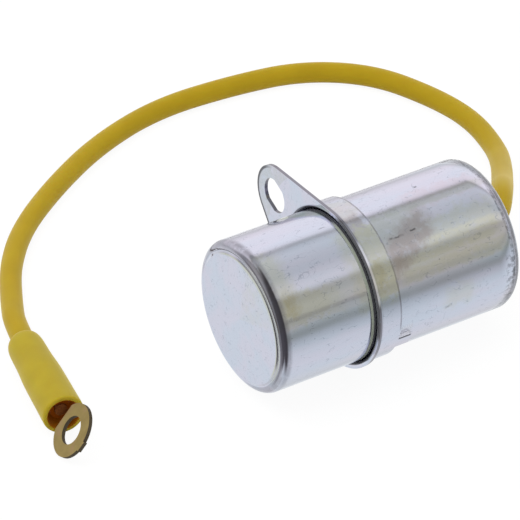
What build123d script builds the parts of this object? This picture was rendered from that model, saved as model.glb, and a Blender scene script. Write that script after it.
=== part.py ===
"""Ignition condenser: drawn steel can, stamped band with a fixing ear, sprung paper winding and yellow lead.

Millimetres. The origin is the centre of the can's closed flat end. +X runs along the can to the end that the
lead leaves, +Z is up, and the part lies on the lip of its band with the lead laid beside it.
"""
import os
from math import acos, cos, hypot, pi, radians, sin, sqrt, tan

from build123d import *

os.makedirs("parts", exist_ok=True)

# ---- drawn can ----
CAN_D = 20.0              # outside diameter
CAN_LENGTH = 35.7         # closed end to rolled rim
CAN_WALL = 0.5            # sheet of the drawn cup
FACE_STEP = 0.15          # height of the coined step round the closed end
FACE_STEP_WIDTH = 0.25    # width of that step
FACE_LAND = 0.15          # flat left between the step and the draw radius
END_ROUND = 1.05          # draw radius outside the closed end
RIM_ROUND = 1.3           # outside radius of the rolled rim
RIM_WIDTH = 2.6           # how far the rim is turned in
FIT = 0.05                # clearance of the pieces that slide into the can

# ---- stamped band ----
BAND_SHEET = 0.5          # sheet of the band
BAND_FIT = 0.02           # gap between the collar and the can
BAND_FRONT = 13.4         # front face of the lip and ear, from the closed end
BAND_WIDTH = 3.7          # front face to the collar's rear edge
BAND_BEND = 0.2           # inside radius where the lip turns up
LIP_RADIUS = 10.95        # edge of the lip, from the can's axis
EAR_ANGLE = 24.8          # direction of the ear above +Y, degrees
EAR_TIP_RADIUS = 4.47     # round tip of the ear
SLOT_REACH = 14.45        # axis to the centre of the fixing hole
SLOT_SHIFT = 0.5          # hole's centre past the centre of the ear's round tip
SLOT_LENGTH = 4.7         # fixing hole along the ear
SLOT_WIDTH = 4.25         # across its two flats, for an M4 screw
TONGUE_WIDTH = 2.0        # locating tongue opposite the ear
TONGUE_LENGTH = 1.9       # its reach past the collar

# ---- stack inside the can, from the rim inwards ----
END_DISC = 1.5            # hard-paper end disc
SEAL = 1.5                # rubber seal
PLATE = 0.5               # live contact plate
PLATE_D = 14.0
SPRAY = 0.6               # sprayed zinc on each end of the winding
EARTH_DISC = 0.4          # disc that the spring presses on
EARTH_DISC_D = 15.0
EARTH_DISC_BORE_D = 3.0
LINER = 0.35              # paper sleeve round the winding
CORE_D = 4.4              # winding core, outside
CORE_WALL = 0.4
SPRING_LENGTH = 4.0       # finger spring as it sits under load
SPRING_SHEET = 0.4
SPRING_BORE_D = 4.0       # hole through its crown
SPRING_CROWN_D = 8.0      # flat crown under the earth disc
SPRING_HEEL_D = 14.4      # where the fingers' feet begin
SPRING_FOOT_D = 17.0      # over the feet, on the can's floor
SPRING_FINGERS = 6
SPRING_SLOT = 2.0         # gap between fingers
SPRING_SLOT_ROOT_D = 9.4  # across the inner ends of the gaps

# ---- eyelet that joins the lead to the live plate ----
EYELET_WALL = 0.3
EYELET_FLANGE_D = 4.2
EYELET_CLINCH_D = 3.2
SOLDER_HEIGHT = 1.1
SOLDER_TIP_D = 2.2
SOLDER_ROUND = 0.4

# ---- lead ----
LEAD_D = 2.9              # over the insulation
CONDUCTOR_D = 1.6         # tinned strand
STRAND_FIT = 0.05         # clearance of the strand in whatever it passes through
ARC_SHARE = 0.45          # share of the shorter run that each bend takes up

# ---- ring terminal and its sleeve, measured back from the ring's centre along the lead ----
TERMINAL_SHEET = 0.5
RING_D = 7.0
RING_BORE_D = 3.7
RING_NECK = 3.0           # width of the neck behind the ring
RING_NUB = 1.4            # width of the cut-off stub at the ring's tip
RING_NUB_HEIGHT = 0.2
NECK_END = 2.9            # where the neck starts to drop to the barrel
JOG_LENGTH = 2.0          # from there to the crimp on the strand
STRAND_GRIP = 3.2         # length of the crimp on the bare strand
GRIP_GAP = 1.7            # between the two crimps
STRIP_SHOW = 0.3          # wire that shows in front of each crimp
JACKET_GRIP = 2.6         # length of the crimp on the insulation
CRIMP_SEAM = 0.3          # gap between the closed crimp wings
SLEEVE_MOUTH = 3.5        # open end of the sleeve
SLEEVE_LENGTH = 16.8
SLEEVE_MOUTH_D = 5.4
SLEEVE_END_D = 4.7
SLEEVE_WALL = 0.5
SLEEVE_NOSE = 2.4         # closed-in end that grips the lead
SLEEVE_TAPER = 1.2        # from the nose's bore to the sleeve's own
SLEEVE_SHOULDER = 0.75    # round outside the closed-in end
TERMINAL_SLOPE = 0.026    # rise per millimetre towards the ring, as it lies
TERMINAL_HEADING = (-0.205, -0.979)
TERMINAL_PLACE = (-23.66, 0.51)
RING_TILT = 37.0          # the ring's face from upright, degrees

# ---- values that follow ----
CAN_R = CAN_D / 2
BORE_R = CAN_R - CAN_WALL
RIM_R = CAN_R - RIM_WIDTH
STACK_R = BORE_R - FIT
EAR_REACH = SLOT_REACH - SLOT_SHIFT    # axis to the centre of the ear's round tip
COLLAR_IN = CAN_R + BAND_FIT
COLLAR_OUT = COLLAR_IN + BAND_SHEET
BAND_REAR = BAND_FRONT + BAND_WIDTH
FLOOR = -LIP_RADIUS                    # surface that the part lies on
LEAD_LAY = FLOOR + LEAD_D / 2          # height of the lead's centre on that surface
CORE_R = CORE_D / 2
WINDING_R = STACK_R - LINER - FIT
STRAND_HOLE_R = CONDUCTOR_D / 2 + STRAND_FIT
LEAD_HOLE_R = LEAD_D / 2 + STRAND_FIT

X_DISC = CAN_LENGTH - CAN_WALL - END_DISC      # inner faces of the stack
X_SEAL = X_DISC - SEAL
X_PLATE = X_SEAL - PLATE
X_LIVE_SPRAY = X_PLATE - SPRAY
X_EARTH = CAN_WALL + SPRING_LENGTH
X_EARTH_SPRAY = X_EARTH + EARTH_DISC
X_WINDING = X_EARTH_SPRAY + SPRAY
X_LEAD = X_SEAL + EYELET_WALL                  # where the insulation ends
X_CLINCH = X_PLATE - EYELET_WALL
X_STRAND = X_CLINCH - SOLDER_HEIGHT / 2        # where the bare strand ends

STRAND_GRIP_FRONT = -(NECK_END + JOG_LENGTH)   # crimps, on the terminal's own x
STRAND_GRIP_REAR = STRAND_GRIP_FRONT - STRAND_GRIP
JACKET_GRIP_FRONT = STRAND_GRIP_REAR - GRIP_GAP
JACKET_GRIP_REAR = JACKET_GRIP_FRONT - JACKET_GRIP


def turned(outline, rounds=()):
    """Turn an outline of (x, radius) points about the can's axis, with some corners rounded first."""
    profile = make_face(Polyline(*outline, close=True))
    for corner, radius in rounds:
        vertex = profile.vertices().sort_by_distance(Vector(*corner, 0))[0]
        profile = fillet(vertex, radius)
    return revolve(profile, Axis.X)


def ring(x0, x1, outer, inner=0.0):
    """A plain disc or tube on the can's axis."""
    return turned([(x0, inner), (x0, outer), (x1, outer), (x1, inner)])


# ---- can ----
def make_can():
    """Drawn cup whose open edge is rolled in over the end disc."""
    face_r = CAN_R - END_ROUND - FACE_LAND - FACE_STEP_WIDTH
    outline = [
        (0, 0), (0, face_r), (FACE_STEP, face_r + FACE_STEP_WIDTH), (FACE_STEP, CAN_R),
        (CAN_LENGTH, CAN_R), (CAN_LENGTH, RIM_R), (CAN_LENGTH - CAN_WALL, RIM_R),
        (CAN_LENGTH - CAN_WALL, BORE_R), (CAN_WALL, BORE_R), (CAN_WALL, 0),
    ]
    rounds = [
        ((FACE_STEP, CAN_R), END_ROUND),
        ((CAN_WALL, BORE_R), END_ROUND - CAN_WALL),
        ((CAN_LENGTH, CAN_R), RIM_ROUND),
        ((CAN_LENGTH - CAN_WALL, BORE_R), RIM_ROUND - CAN_WALL),
    ]
    return turned(outline, rounds)


# ---- band ----
def ear_outline():
    """Round tip joined to the lip by two tangent sides, in the ear's own axes."""
    side = acos((LIP_RADIUS - EAR_TIP_RADIUS) / EAR_REACH)
    tip = (EAR_REACH + EAR_TIP_RADIUS * cos(side), EAR_TIP_RADIUS * sin(side))
    root = (LIP_RADIUS * cos(side), LIP_RADIUS * sin(side))
    edge = Line(root, tip)
    edge += ThreePointArc(tip, (EAR_REACH + EAR_TIP_RADIUS, 0), (tip[0], -tip[1]))
    edge += Polyline((tip[0], -tip[1]), (root[0], -root[1]), (0, 0), root)
    return make_face(edge)


def slot_outline():
    """Round hole with two flats that run along the ear."""
    hole = Circle(SLOT_LENGTH / 2) & Rectangle(SLOT_LENGTH, SLOT_WIDTH)
    return Pos(SLOT_REACH, 0) * hole


def make_band():
    """One stamping: collar, turned-up lip that grows into the ear, and a tongue at the rear edge."""
    flat = COLLAR_OUT + BAND_BEND
    outline = [
        (BAND_FRONT, COLLAR_IN), (BAND_FRONT, LIP_RADIUS), (BAND_FRONT + BAND_SHEET, LIP_RADIUS),
        (BAND_FRONT + BAND_SHEET, COLLAR_OUT), (BAND_REAR, COLLAR_OUT), (BAND_REAR, COLLAR_IN),
    ]
    rounds = [
        ((BAND_FRONT, COLLAR_IN), BAND_BEND + BAND_SHEET),
        ((BAND_FRONT + BAND_SHEET, COLLAR_OUT), BAND_BEND),
    ]
    collar = turned(outline, rounds)
    # local x of this plane is +Y and local y is +Z, so the ear's angle is read as it stands
    front = Plane(origin=(BAND_FRONT, 0, 0), x_dir=(0, 1, 0), z_dir=(1, 0, 0))
    plate = ear_outline() - Circle(flat) - slot_outline()
    ear = extrude(front * Rot(0, 0, EAR_ANGLE) * plate, BAND_SHEET)
    reach = TONGUE_LENGTH + BAND_SHEET
    blank = Box(reach, TONGUE_WIDTH, 2 * COLLAR_OUT, align=(Align.MIN, Align.CENTER, Align.MAX))
    tongue = ring(BAND_REAR - BAND_SHEET, BAND_REAR + TONGUE_LENGTH, COLLAR_OUT, COLLAR_IN)
    tongue &= Pos(BAND_REAR - BAND_SHEET, 0, 0) * Rot(EAR_ANGLE - 90, 0, 0) * blank
    return collar + ear + tongue


# ---- stack ----
def make_end_disc():
    """Hard-paper disc under the rolled rim, with its outer edge cut to clear the roll."""
    cut = RIM_ROUND - CAN_WALL + FIT
    outline = [
        (X_DISC, LEAD_HOLE_R), (X_DISC, STACK_R), (X_DISC + END_DISC - cut, STACK_R),
        (X_DISC + END_DISC, STACK_R - cut), (X_DISC + END_DISC, LEAD_HOLE_R),
    ]
    return turned(outline)


def make_seal():
    """Rubber disc that grips the lead and is recessed over the eyelet's flange."""
    flange = EYELET_FLANGE_D / 2 + FIT
    outline = [
        (X_LEAD, LEAD_HOLE_R), (X_LEAD, flange), (X_SEAL, flange),
        (X_SEAL, STACK_R), (X_DISC, STACK_R), (X_DISC, LEAD_HOLE_R),
    ]
    return turned(outline)


def make_eyelet():
    """Tubular rivet through the live plate, flanged outside and clinched inside."""
    shank = STRAND_HOLE_R + EYELET_WALL
    outline = [
        (X_CLINCH, STRAND_HOLE_R), (X_CLINCH, EYELET_CLINCH_D / 2), (X_PLATE, EYELET_CLINCH_D / 2),
        (X_PLATE, shank), (X_SEAL, shank), (X_SEAL, EYELET_FLANGE_D / 2),
        (X_LEAD, EYELET_FLANGE_D / 2), (X_LEAD, STRAND_HOLE_R),
    ]
    return turned(outline)


def make_solder():
    """Fillet of solder that holds the strand's end to the eyelet."""
    tip = X_CLINCH - SOLDER_HEIGHT
    base_r = EYELET_CLINCH_D / 2 - FIT
    outline = [(tip, 0), (tip, SOLDER_TIP_D / 2), (X_CLINCH, base_r), (X_CLINCH, 0)]
    joint = turned(outline, [((tip, SOLDER_TIP_D / 2), SOLDER_ROUND)])
    return joint - ring(X_STRAND, X_CLINCH, CONDUCTOR_D / 2)


def make_spring():
    """Finger spring: flat crown under the earth disc, fingers that slope out to feet on the can's floor."""
    half = SPRING_SHEET / 2
    crown = X_EARTH - half
    floor = CAN_WALL + half
    sheet = trace(Polyline(
        (crown, SPRING_BORE_D / 2), (crown, SPRING_CROWN_D / 2),
        (floor, SPRING_HEEL_D / 2), (floor, SPRING_FOOT_D / 2),
    ), SPRING_SHEET)
    spring = revolve(sheet, Axis.X)
    gap = Box(SPRING_LENGTH, SPRING_SLOT, SPRING_FOOT_D, align=(Align.MIN, Align.CENTER, Align.MIN))
    gap = Pos(CAN_WALL, 0, SPRING_SLOT_ROOT_D / 2) * gap
    for finger in range(SPRING_FINGERS):
        spring -= Rot(360 * finger / SPRING_FINGERS, 0, 0) * gap
    return spring


# ---- terminal ----
def terminal_frame():
    """Plane at the ring's centre: local x along the lead to the tip, local z out of the ring's face."""
    length = hypot(*TERMINAL_HEADING)
    along = Vector(TERMINAL_HEADING[0] / length, TERMINAL_HEADING[1] / length, TERMINAL_SLOPE).normalized()
    side = along.cross(Vector(0, 0, 1)).normalized()
    upright = side.cross(along).normalized()
    face = side * cos(radians(RING_TILT)) + upright * sin(radians(RING_TILT))
    drop = RING_D / 2 * sqrt(1 - face.Z ** 2) + TERMINAL_SHEET / 2 * face.Z
    centre = Vector(*TERMINAL_PLACE, FLOOR + drop)
    return Plane(origin=centre, x_dir=along, z_dir=face)


def along_x(radius, start, end):
    """Solid round bar on local x between two places."""
    bar = Cylinder(radius, end - start, align=(Align.CENTER, Align.CENTER, Align.MIN))
    return Pos(start, 0, 0) * Rot(0, 90, 0) * bar


def crimp(start, end, inner):
    """Closed crimp barrel: sheet rolled round until its two wings nearly meet."""
    barrel = along_x(inner + TERMINAL_SHEET, start, end) - along_x(inner, start, end)
    seam = Box(end - start, CRIMP_SEAM, 2 * TERMINAL_SHEET, align=(Align.MIN, Align.CENTER, Align.MIN))
    return barrel - Pos(start, 0, inner - TERMINAL_SHEET / 2) * seam


def make_terminal():
    """Brass ring, jogged neck and the two crimps, in the terminal's own axes."""
    # the strip's middle drops from the ring's plane to run under the strand, then under the insulation
    under_strand = -(STRAND_HOLE_R + TERMINAL_SHEET / 2)
    under_jacket = -(LEAD_HOLE_R + TERMINAL_SHEET / 2)
    spine = Polyline(
        (RING_D, 0), (-NECK_END, 0), (STRAND_GRIP_FRONT + 2 * STRIP_SHOW, under_strand),
        (STRAND_GRIP_REAR, under_strand), (STRAND_GRIP_REAR - GRIP_GAP / 2, under_jacket),
        (JACKET_GRIP_REAR, under_jacket),
    )
    strip = extrude(Plane.XZ * trace(spine, TERMINAL_SHEET), RING_D, both=True)
    outline = Circle(RING_D / 2) + Pos(RING_D / 2, 0) * Rectangle(2 * RING_NUB_HEIGHT, RING_NUB)
    outline += Rectangle(-STRAND_GRIP_FRONT, RING_NECK, align=(Align.MAX, Align.CENTER))
    outline += Rectangle(-JACKET_GRIP_REAR, RING_NECK / 2, align=(Align.MAX, Align.CENTER))
    outline -= Circle(RING_BORE_D / 2)
    plate = strip & extrude(outline, RING_D, both=True)
    # behind the ring everything lies within the round of the larger crimp, clear of both bores
    widest = LEAD_HOLE_R + TERMINAL_SHEET
    plate -= along_x(RING_D, JACKET_GRIP_REAR, -NECK_END) - along_x(widest, JACKET_GRIP_REAR, -NECK_END)
    plate -= along_x(STRAND_HOLE_R, STRAND_GRIP_REAR, STRAND_GRIP_FRONT)
    plate -= along_x(LEAD_HOLE_R, JACKET_GRIP_REAR, JACKET_GRIP_FRONT)
    plate += crimp(STRAND_GRIP_REAR, STRAND_GRIP_FRONT, STRAND_HOLE_R)
    plate += crimp(JACKET_GRIP_REAR, JACKET_GRIP_FRONT, LEAD_HOLE_R)
    return plate


def make_sleeve():
    """Soft sleeve, open at the ring and drawn in to the lead, turned about the terminal's own axis."""
    mouth = -SLEEVE_MOUTH
    rear = mouth - SLEEVE_LENGTH
    nose = rear + SLEEVE_NOSE
    inner = SLEEVE_MOUTH_D / 2 - SLEEVE_WALL
    outline = [
        (rear, LEAD_HOLE_R), (rear, SLEEVE_END_D / 2), (mouth, SLEEVE_MOUTH_D / 2), (mouth, inner),
        (nose + SLEEVE_TAPER, inner), (nose, LEAD_HOLE_R),
    ]
    return turned(outline, [((rear, SLEEVE_END_D / 2), SLEEVE_SHOULDER)])


# ---- lead ----
TERMINAL = terminal_frame()
JACKET_END = -JACKET_GRIP_FRONT - STRIP_SHOW   # back from the ring's centre
STRAND_END = -STRAND_GRIP_FRONT - STRIP_SHOW
SLEEVE_ENTRY = 23.5                          # last bend before the sleeve

LEAD_ROUTE = [
    (36.95, 0.0, 0.0),               # straight out of the end disc
    (40.3, 1.55, 0.3),
    (43.7, 5.8, 0.4),                # turns aside and down
    (48.7, 12.6, -4.3),
    (53.9, 19.9, -7.6),
    (57.4, 26.0, LEAD_LAY),          # on the surface from here
    (58.9, 33.8, LEAD_LAY),
    (57.6, 41.6, LEAD_LAY),
    (53.8, 50.9, LEAD_LAY),
    (45.8, 57.1, LEAD_LAY),
    (35.6, 59.0, LEAD_LAY),
    (23.6, 59.5, LEAD_LAY),
    (12.2, 56.0, LEAD_LAY),
    (2.1, 50.2, LEAD_LAY),
    (-6.6, 43.7, LEAD_LAY),
    (-12.2, 36.9, LEAD_LAY),
    (-15.9, 29.9, LEAD_LAY),
]


def lead_path(start_x, back):
    """Straight runs and tangent arcs from a point on the can's axis to one behind the ring."""
    route = [Vector(start_x, 0, 0)] + [Vector(*p) for p in LEAD_ROUTE]
    route += [Vector(*(TERMINAL.origin - TERMINAL.x_dir * SLEEVE_ENTRY))]
    route += [Vector(*(TERMINAL.origin - TERMINAL.x_dir * back))]
    return route


def corner_radii(route):
    """The largest arc that each corner's two runs leave room for."""
    radii = []
    for before, corner, after in zip(route, route[1:], route[2:]):
        turn = radians((corner - before).get_angle(after - corner))
        radii.append(ARC_SHARE * min((corner - before).length, (after - corner).length) / tan(turn / 2))
    return radii


def swept(radius, line):
    """Round bar along a line."""
    return sweep(Plane(origin=line @ 0, z_dir=line % 0) * Circle(radius), line)


def make_lead():
    """Insulation and strand, swept along the same line."""
    jacket_route = lead_path(X_LEAD, JACKET_END)
    radii = corner_radii(jacket_route)
    jacket_line = FilletPolyline(*jacket_route, radius=radii)
    strand_line = FilletPolyline(*lead_path(X_STRAND, STRAND_END), radius=radii)
    jacket = swept(LEAD_D / 2, jacket_line) - swept(STRAND_HOLE_R, jacket_line)
    print("lead radii", [round(r, 1) for r in radii])
    print("lead length", round(jacket_line.length, 2))
    area = pi * ((LEAD_D / 2) ** 2 - STRAND_HOLE_R ** 2)
    print("jacket volume", round(jacket.volume, 2), "section x length", round(area * jacket_line.length, 2))
    return jacket, swept(CONDUCTOR_D / 2, strand_line)


def build():
    """Every node by name."""
    jacket, strand = make_lead()
    plate_hole = STRAND_HOLE_R + EYELET_WALL
    return {
        "can": make_can(),
        "mounting_band": make_band(),
        "end_disc": make_end_disc(),
        "rubber_seal": make_seal(),
        "contact_plate": ring(X_PLATE, X_SEAL, PLATE_D / 2, plate_hole),
        "lead_eyelet": make_eyelet(),
        "solder_joint": make_solder(),
        "live_end_spray": ring(X_LIVE_SPRAY, X_PLATE, WINDING_R, CORE_R),
        "winding": ring(X_WINDING, X_LIVE_SPRAY, WINDING_R, CORE_R),
        "winding_core": ring(X_EARTH_SPRAY, X_PLATE, CORE_R, CORE_R - CORE_WALL),
        "winding_liner": ring(X_EARTH, X_SEAL, STACK_R, STACK_R - LINER),
        "earth_end_spray": ring(X_EARTH_SPRAY, X_WINDING, WINDING_R, CORE_R),
        "earth_disc": ring(X_EARTH, X_EARTH_SPRAY, EARTH_DISC_D / 2, EARTH_DISC_BORE_D / 2),
        "pressure_spring": make_spring(),
        "lead_jacket": jacket,
        "lead_strand": strand,
        "terminal_sleeve": TERMINAL.location * make_sleeve(),
        "ring_terminal": TERMINAL.location * make_terminal(),
    }


for name, shape in build().items():
    export_step(shape, f"parts/{name}.step")
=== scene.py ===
"""Dresses the ignition condenser: zinc-plated can and band, yellow lead with its sleeved ring terminal.

Blender works in metres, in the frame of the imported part: the origin is the centre of the can's closed end,
+X runs along the can and +Z is up. Finishes, routes and outlines have their sizes in millimetres and their
angles in degrees. Each sub-assembly is a class that builds its own meshes and finishes.
"""
from __future__ import annotations

import logging
import math
from dataclasses import dataclass, field
from enum import Enum
from functools import reduce

import bmesh
import bpy
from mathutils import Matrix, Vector

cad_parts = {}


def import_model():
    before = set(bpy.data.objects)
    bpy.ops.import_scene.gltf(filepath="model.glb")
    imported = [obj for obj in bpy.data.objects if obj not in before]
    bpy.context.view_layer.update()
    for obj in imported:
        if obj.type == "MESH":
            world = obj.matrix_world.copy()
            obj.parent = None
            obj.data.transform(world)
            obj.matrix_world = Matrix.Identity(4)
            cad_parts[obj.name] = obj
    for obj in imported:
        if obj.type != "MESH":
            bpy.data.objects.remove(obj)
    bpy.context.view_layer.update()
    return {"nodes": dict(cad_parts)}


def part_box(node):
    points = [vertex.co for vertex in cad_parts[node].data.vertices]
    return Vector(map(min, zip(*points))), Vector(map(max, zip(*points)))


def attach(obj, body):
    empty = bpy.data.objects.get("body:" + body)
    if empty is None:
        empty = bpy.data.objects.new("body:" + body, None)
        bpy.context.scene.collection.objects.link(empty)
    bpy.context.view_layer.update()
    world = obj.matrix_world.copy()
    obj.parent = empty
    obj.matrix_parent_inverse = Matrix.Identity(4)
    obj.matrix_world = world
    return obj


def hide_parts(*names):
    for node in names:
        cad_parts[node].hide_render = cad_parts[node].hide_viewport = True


LOG = logging.getLogger("condenser")
MM = 0.001
BODY = "root"

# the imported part's sizes that the finishes and the lead follow
LIP_RADIUS = 10.95           # edge of the band's lip, from the can's axis: the part lies on it
BAND_FRONT = 13.4            # front face of the lip and the ear, from the can's closed end
BAND_SHEET = 0.5
EAR_ANGLE = 24.8             # direction of the ear above +Y
EAR_TIP_RADIUS = 4.47
EAR_REACH = 13.95            # from the can's axis to the centre of the ear's round tip

# stretches that several stains share: along the can, round it, and away from its axis
SHEARED = (BAND_FRONT + 0.06, BAND_FRONT + BAND_SHEET)   # edge of the band's sheet, clear of its front face
CLOSED_END = (-0.5, 0.2)
ALL_ROUND = (0, 360)
CAN_SKIN = (9.5, 10.2)
LIP_EDGE = (10.6, 11.2)

Piece = bpy.types.Object
Material = bpy.types.Material
Node = bpy.types.Node
Tree = bpy.types.NodeTree
Socket = bpy.types.NodeSocket
Places = dict[str, Socket]
Colour = tuple[float, float, float, float]
Triple = tuple[float, float, float]
Span = tuple[float, float]


# ---------------------------------------------------------------- colours and nodes


def srgb(code: str) -> Colour:
    """Turns an sRGB hex colour to the linear colour that a shader takes.

    Args:
        code: The colour, as "#rrggbb".

    Returns:
        Linear red, green, blue and an alpha of 1.
    """
    parts = [int(code[i:i + 2], 16) / 255 for i in (1, 3, 5)]
    linear = [c / 12.92 if c <= 0.04045 else ((c + 0.055) / 1.055) ** 2.4 for c in parts]
    return (linear[0], linear[1], linear[2], 1.0)


def grey(value: float) -> Colour:
    """A neutral linear colour."""
    return (value, value, value, 1.0)


def feed(node: Node, links: dict) -> None:
    """Sets a node's inputs.

    Args:
        node: The node.
        links: Values or sockets by input name or number.
    """
    for name, value in links.items():
        if isinstance(value, Socket):
            node.id_data.links.new(value, node.inputs[name])
        else:
            node.inputs[name].default_value = value


def put(tree: Tree, kind: str, links: dict | None = None, **settings: object) -> Node:
    """Adds a node with its settings and links.

    Args:
        tree: The node tree that it goes into.
        kind: The node's type.
        links: Values or sockets by input name or number.
        **settings: Properties of the node itself.

    Returns:
        The new node.
    """
    node = tree.nodes.new(kind)
    for name, value in settings.items():
        setattr(node, name, value)
    feed(node, links or {})
    return node


def ramp(tree: Tree, fac: Socket, stops: list[tuple[float, Colour]]) -> Socket:
    """Adds a colour ramp with any number of stops.

    Args:
        tree: The node tree that it goes into.
        fac: What the ramp reads.
        stops: Place from 0 to 1 and colour of each stop, in order.

    Returns:
        The ramp's colour.
    """
    node = put(tree, "ShaderNodeValToRGB", {"Fac": fac})
    elements = node.color_ramp.elements
    while len(elements) < len(stops):
        elements.new(0.5)
    for element, (place, colour) in zip(elements, stops):
        element.position = place
        element.color = colour
    return node.outputs["Color"]


def two_tone(tree: Tree, fac: Socket, first: str, second: str, spread: float = 0.15) -> Socket:
    """Shades from one colour to another about the middle of a noise."""
    return ramp(tree, fac, [(0.5 - spread, srgb(first)), (0.5 + spread, srgb(second))])


def calc(tree: Tree, operation: str, *values: float | Socket) -> Socket:
    """Works out a sum from its values, in their order."""
    return put(tree, "ShaderNodeMath", dict(enumerate(values)), operation=operation).outputs[0]


def product(tree: Tree, *factors: float | Socket) -> Socket:
    """Multiplies two or more values."""
    return reduce(lambda first, second: calc(tree, "MULTIPLY", first, second), factors)


def hypotenuse(tree: Tree, first: Socket, second: Socket) -> Socket:
    """The length of a line that runs so far one way and so far across it."""
    squares = (calc(tree, "MULTIPLY", side, side) for side in (first, second))
    return calc(tree, "SQRT", calc(tree, "ADD", *squares))


def step(tree: Tree, value: Socket, start: float, end: float) -> Socket:
    """Eases from 0 at start to 1 at end. An end below the start eases the other way."""
    rising = start < end
    return put(tree, "ShaderNodeMapRange", {
        "Value": value, "From Min": min(start, end), "From Max": max(start, end),
        "To Min": 0.0 if rising else 1.0, "To Max": 1.0 if rising else 0.0,
    }, interpolation_type="SMOOTHSTEP").outputs[0]


def window(tree: Tree, value: Socket, low: float, high: float, soft: float) -> Socket:
    """Is 1 between two values and 0 outside them, with soft ends."""
    ends = ((low - soft, low + soft), (high + soft, high - soft))
    return product(tree, *(step(tree, value, *end) for end in ends))


def swing(tree: Tree, fac: Socket, start: float, end: float) -> Socket:
    """Runs straight from one value, where the factor is 0, to another, where it is 1."""
    return calc(tree, "MULTIPLY_ADD", fac, end - start, start)


def paint(tree: Tree, under: Socket, code: str, cover: Socket) -> Socket:
    """Lays a hex colour over another, as far as the cover says."""
    return put(tree, "ShaderNodeMix", {0: cover, 6: under, 7: srgb(code)}, data_type="RGBA").outputs[2]


def patches(tree: Tree, vector: Socket, size: float, levels: Span, detail: float,
            roughness: float = 0.5) -> Socket:
    """Is 1 in patches of about that size, whose soft edges lie between two levels of a noise."""
    level = put(tree, "ShaderNodeTexNoise", {"Vector": vector, "Scale": 1 / size, "Detail": detail,
                                             "Roughness": roughness}).outputs["Fac"]
    return step(tree, level, *levels)


def place_in_mm(tree: Tree) -> Socket:
    """The point's place on its object, in millimetres."""
    place = put(tree, "ShaderNodeTexCoord").outputs["Object"]
    return put(tree, "ShaderNodeVectorMath", {0: place, 1: (1 / MM,) * 3}, operation="MULTIPLY").outputs[0]


def fresh(name: str) -> tuple[Material, Tree, Node]:
    """Starts a material.

    Args:
        name: The finish, in plain words.

    Returns:
        The material, its node tree and the shader in it.
    """
    made = bpy.data.materials.new(name)
    made.use_nodes = True
    return made, made.node_tree, made.node_tree.nodes["Principled BSDF"]


def dress(piece: Piece, material: Material) -> None:
    """Puts one material on the whole of a piece.

    Args:
        piece: The piece.
        material: Its finish.
    """
    piece.data.materials.clear()
    piece.data.materials.append(material)
    LOG.info("%s: %s", piece.name, material.name)


def add(piece: Piece) -> Piece:
    """Puts an object into the scene."""
    bpy.context.scene.collection.objects.link(piece)
    return piece


# ---------------------------------------------------------------- where the terminal lies


@dataclass(frozen=True)
class TerminalLine:
    """The line that the ring terminal, its sleeve and the lead's end share, back from the ring's centre."""

    ring: Span = (-23.66, 0.51)      # the ring's centre, seen from above
    heading: Span = (0.205, 0.979)   # towards the lead, seen from above
    drop: float = 0.026              # fall per millimetre towards the lead
    tilt: float = 37.0               # of the ring's face from upright
    ring_diameter: float = 7.0
    sheet: float = 0.5
    mouth: float = 3.5               # open end of the sleeve, from the ring's centre

    @property
    def along(self) -> Vector:
        """The way towards the lead."""
        level = Vector(self.heading).normalized()
        return Vector((*level, -self.drop)).normalized()

    @property
    def face(self) -> Vector:
        """Works out which way the flat ring looks.

        Returns:
            The way, of length 1.
        """
        side = Vector((0, 0, 1)).cross(self.along).normalized()
        upright = self.along.cross(side).normalized()
        return side * math.cos(math.radians(self.tilt)) + upright * math.sin(math.radians(self.tilt))

    def back(self, distance: float) -> Vector:
        """Finds a place on the line.

        Args:
            distance: How far it lies from the ring's centre, in millimetres.

        Returns:
            The place in millimetres.
        """
        rise = self.face.z
        # the ring's lowest edge is on the table
        lift = self.ring_diameter / 2 * math.sqrt(1 - rise * rise) + self.sheet / 2 * rise
        return Vector((*self.ring, lift - LIP_RADIUS)) + self.along * distance


# ---------------------------------------------------------------- finishes


@dataclass(frozen=True)
class Plain:
    """A finish with one kind of speckle: two shades, a grain in millimetres and a little bump."""

    name: str
    shade: str
    second: str
    grain: float
    roughness: float
    metallic: float = 0.0
    bump: float = 0.1

    def material(self) -> Material:
        """Builds the material.

        Returns:
            A node material on Object coordinates.
        """
        made, tree, shader = fresh(self.name)
        speckle = put(tree, "ShaderNodeTexNoise", {"Vector": place_in_mm(tree), "Scale": 1 / self.grain,
                                                   "Detail": 4.0}).outputs["Fac"]
        feed(shader, {
            "Base Color": two_tone(tree, speckle, self.second, self.shade),
            "Metallic": self.metallic,
            "Roughness": self.roughness,
            "Normal": put(tree, "ShaderNodeBump", {"Height": speckle, "Strength": self.bump,
                                                   "Distance": self.grain * MM / 10}).outputs["Normal"],
        })
        return made


class Tint(Enum):
    """Colours laid on the plate: dirt, wear and thin films, and painted reflection tints, highlights and
    shade.
    """

    OLIVE = "#c7c8b6"
    BROWN = "#b5b091"
    PLUM = "#b2abab"
    STRAW = "#dcdac2"
    PINK = "#d0c2cb"
    SAGE = "#b4bfb0"
    DUST_AND_REFLECTION = "#bdc0bc"
    HIGHLIGHT = "#eeeef6"
    PLATE = "#cfd2de"
    SHEAR_AND_SHADE = "#7d7a82"
    GROOVE_SHADE = "#a3aa9c"
    SOOT_AND_SHADE = "#3b393b"


@dataclass(frozen=True)
class Stain:
    """A patch on the plate: a stretch along the can and an angle round it, with broken soft edges."""

    tint: Tint
    along: Span                # from the can's closed end
    round: Span                # from +Y over +Z
    strength: float
    soft: Span = (0.5, 4.0)    # of its ends, in the same units
    lean: float = 0.0          # degrees per millimetre
    reach: Span = (0.0, 90.0)  # distance from the can's axis
    wander: float = 1.0        # how far its edge is broken up
    matte: float = 0.0         # how far it hides the metal's shine
    broken: float = 0.0        # how far it is broken into dots


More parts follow.
